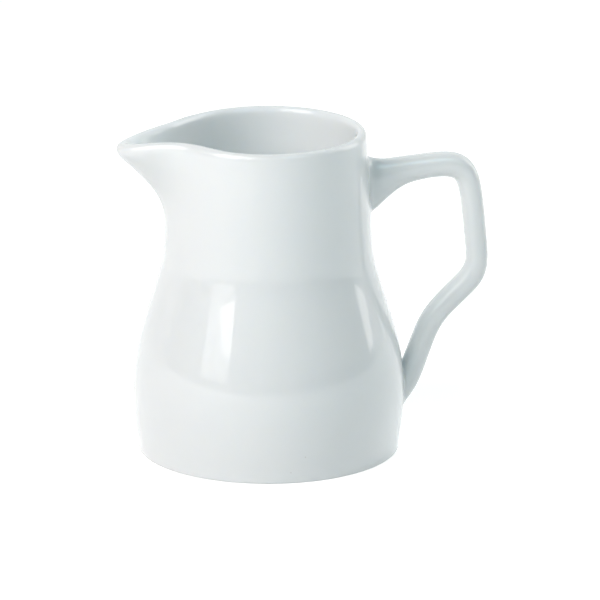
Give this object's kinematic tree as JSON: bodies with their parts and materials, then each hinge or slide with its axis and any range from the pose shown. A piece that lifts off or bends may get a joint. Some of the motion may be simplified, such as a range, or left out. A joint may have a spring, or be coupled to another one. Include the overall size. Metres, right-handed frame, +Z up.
{
  "type": "milk jug",
  "caption": "Round-bellied milk jug with a narrow neck, a pulled pouring spout and a strap handle opposite it, standing on a foot ring.",
  "frame": {"origin": "centre of the foot ring, on the body's axis, in the plane that the jug rests on", "axes": "+Z up, +X out to the handle, -X out to the spout, and both sides of the XZ plane alike"},
  "size_m": [0.1082, 0.0778, 0.0945],
  "materials": {
    "glaze": "gloss"
  },
  "bodies": {
    "root": {"jug": "glaze"}
  },
  "joints": []
}
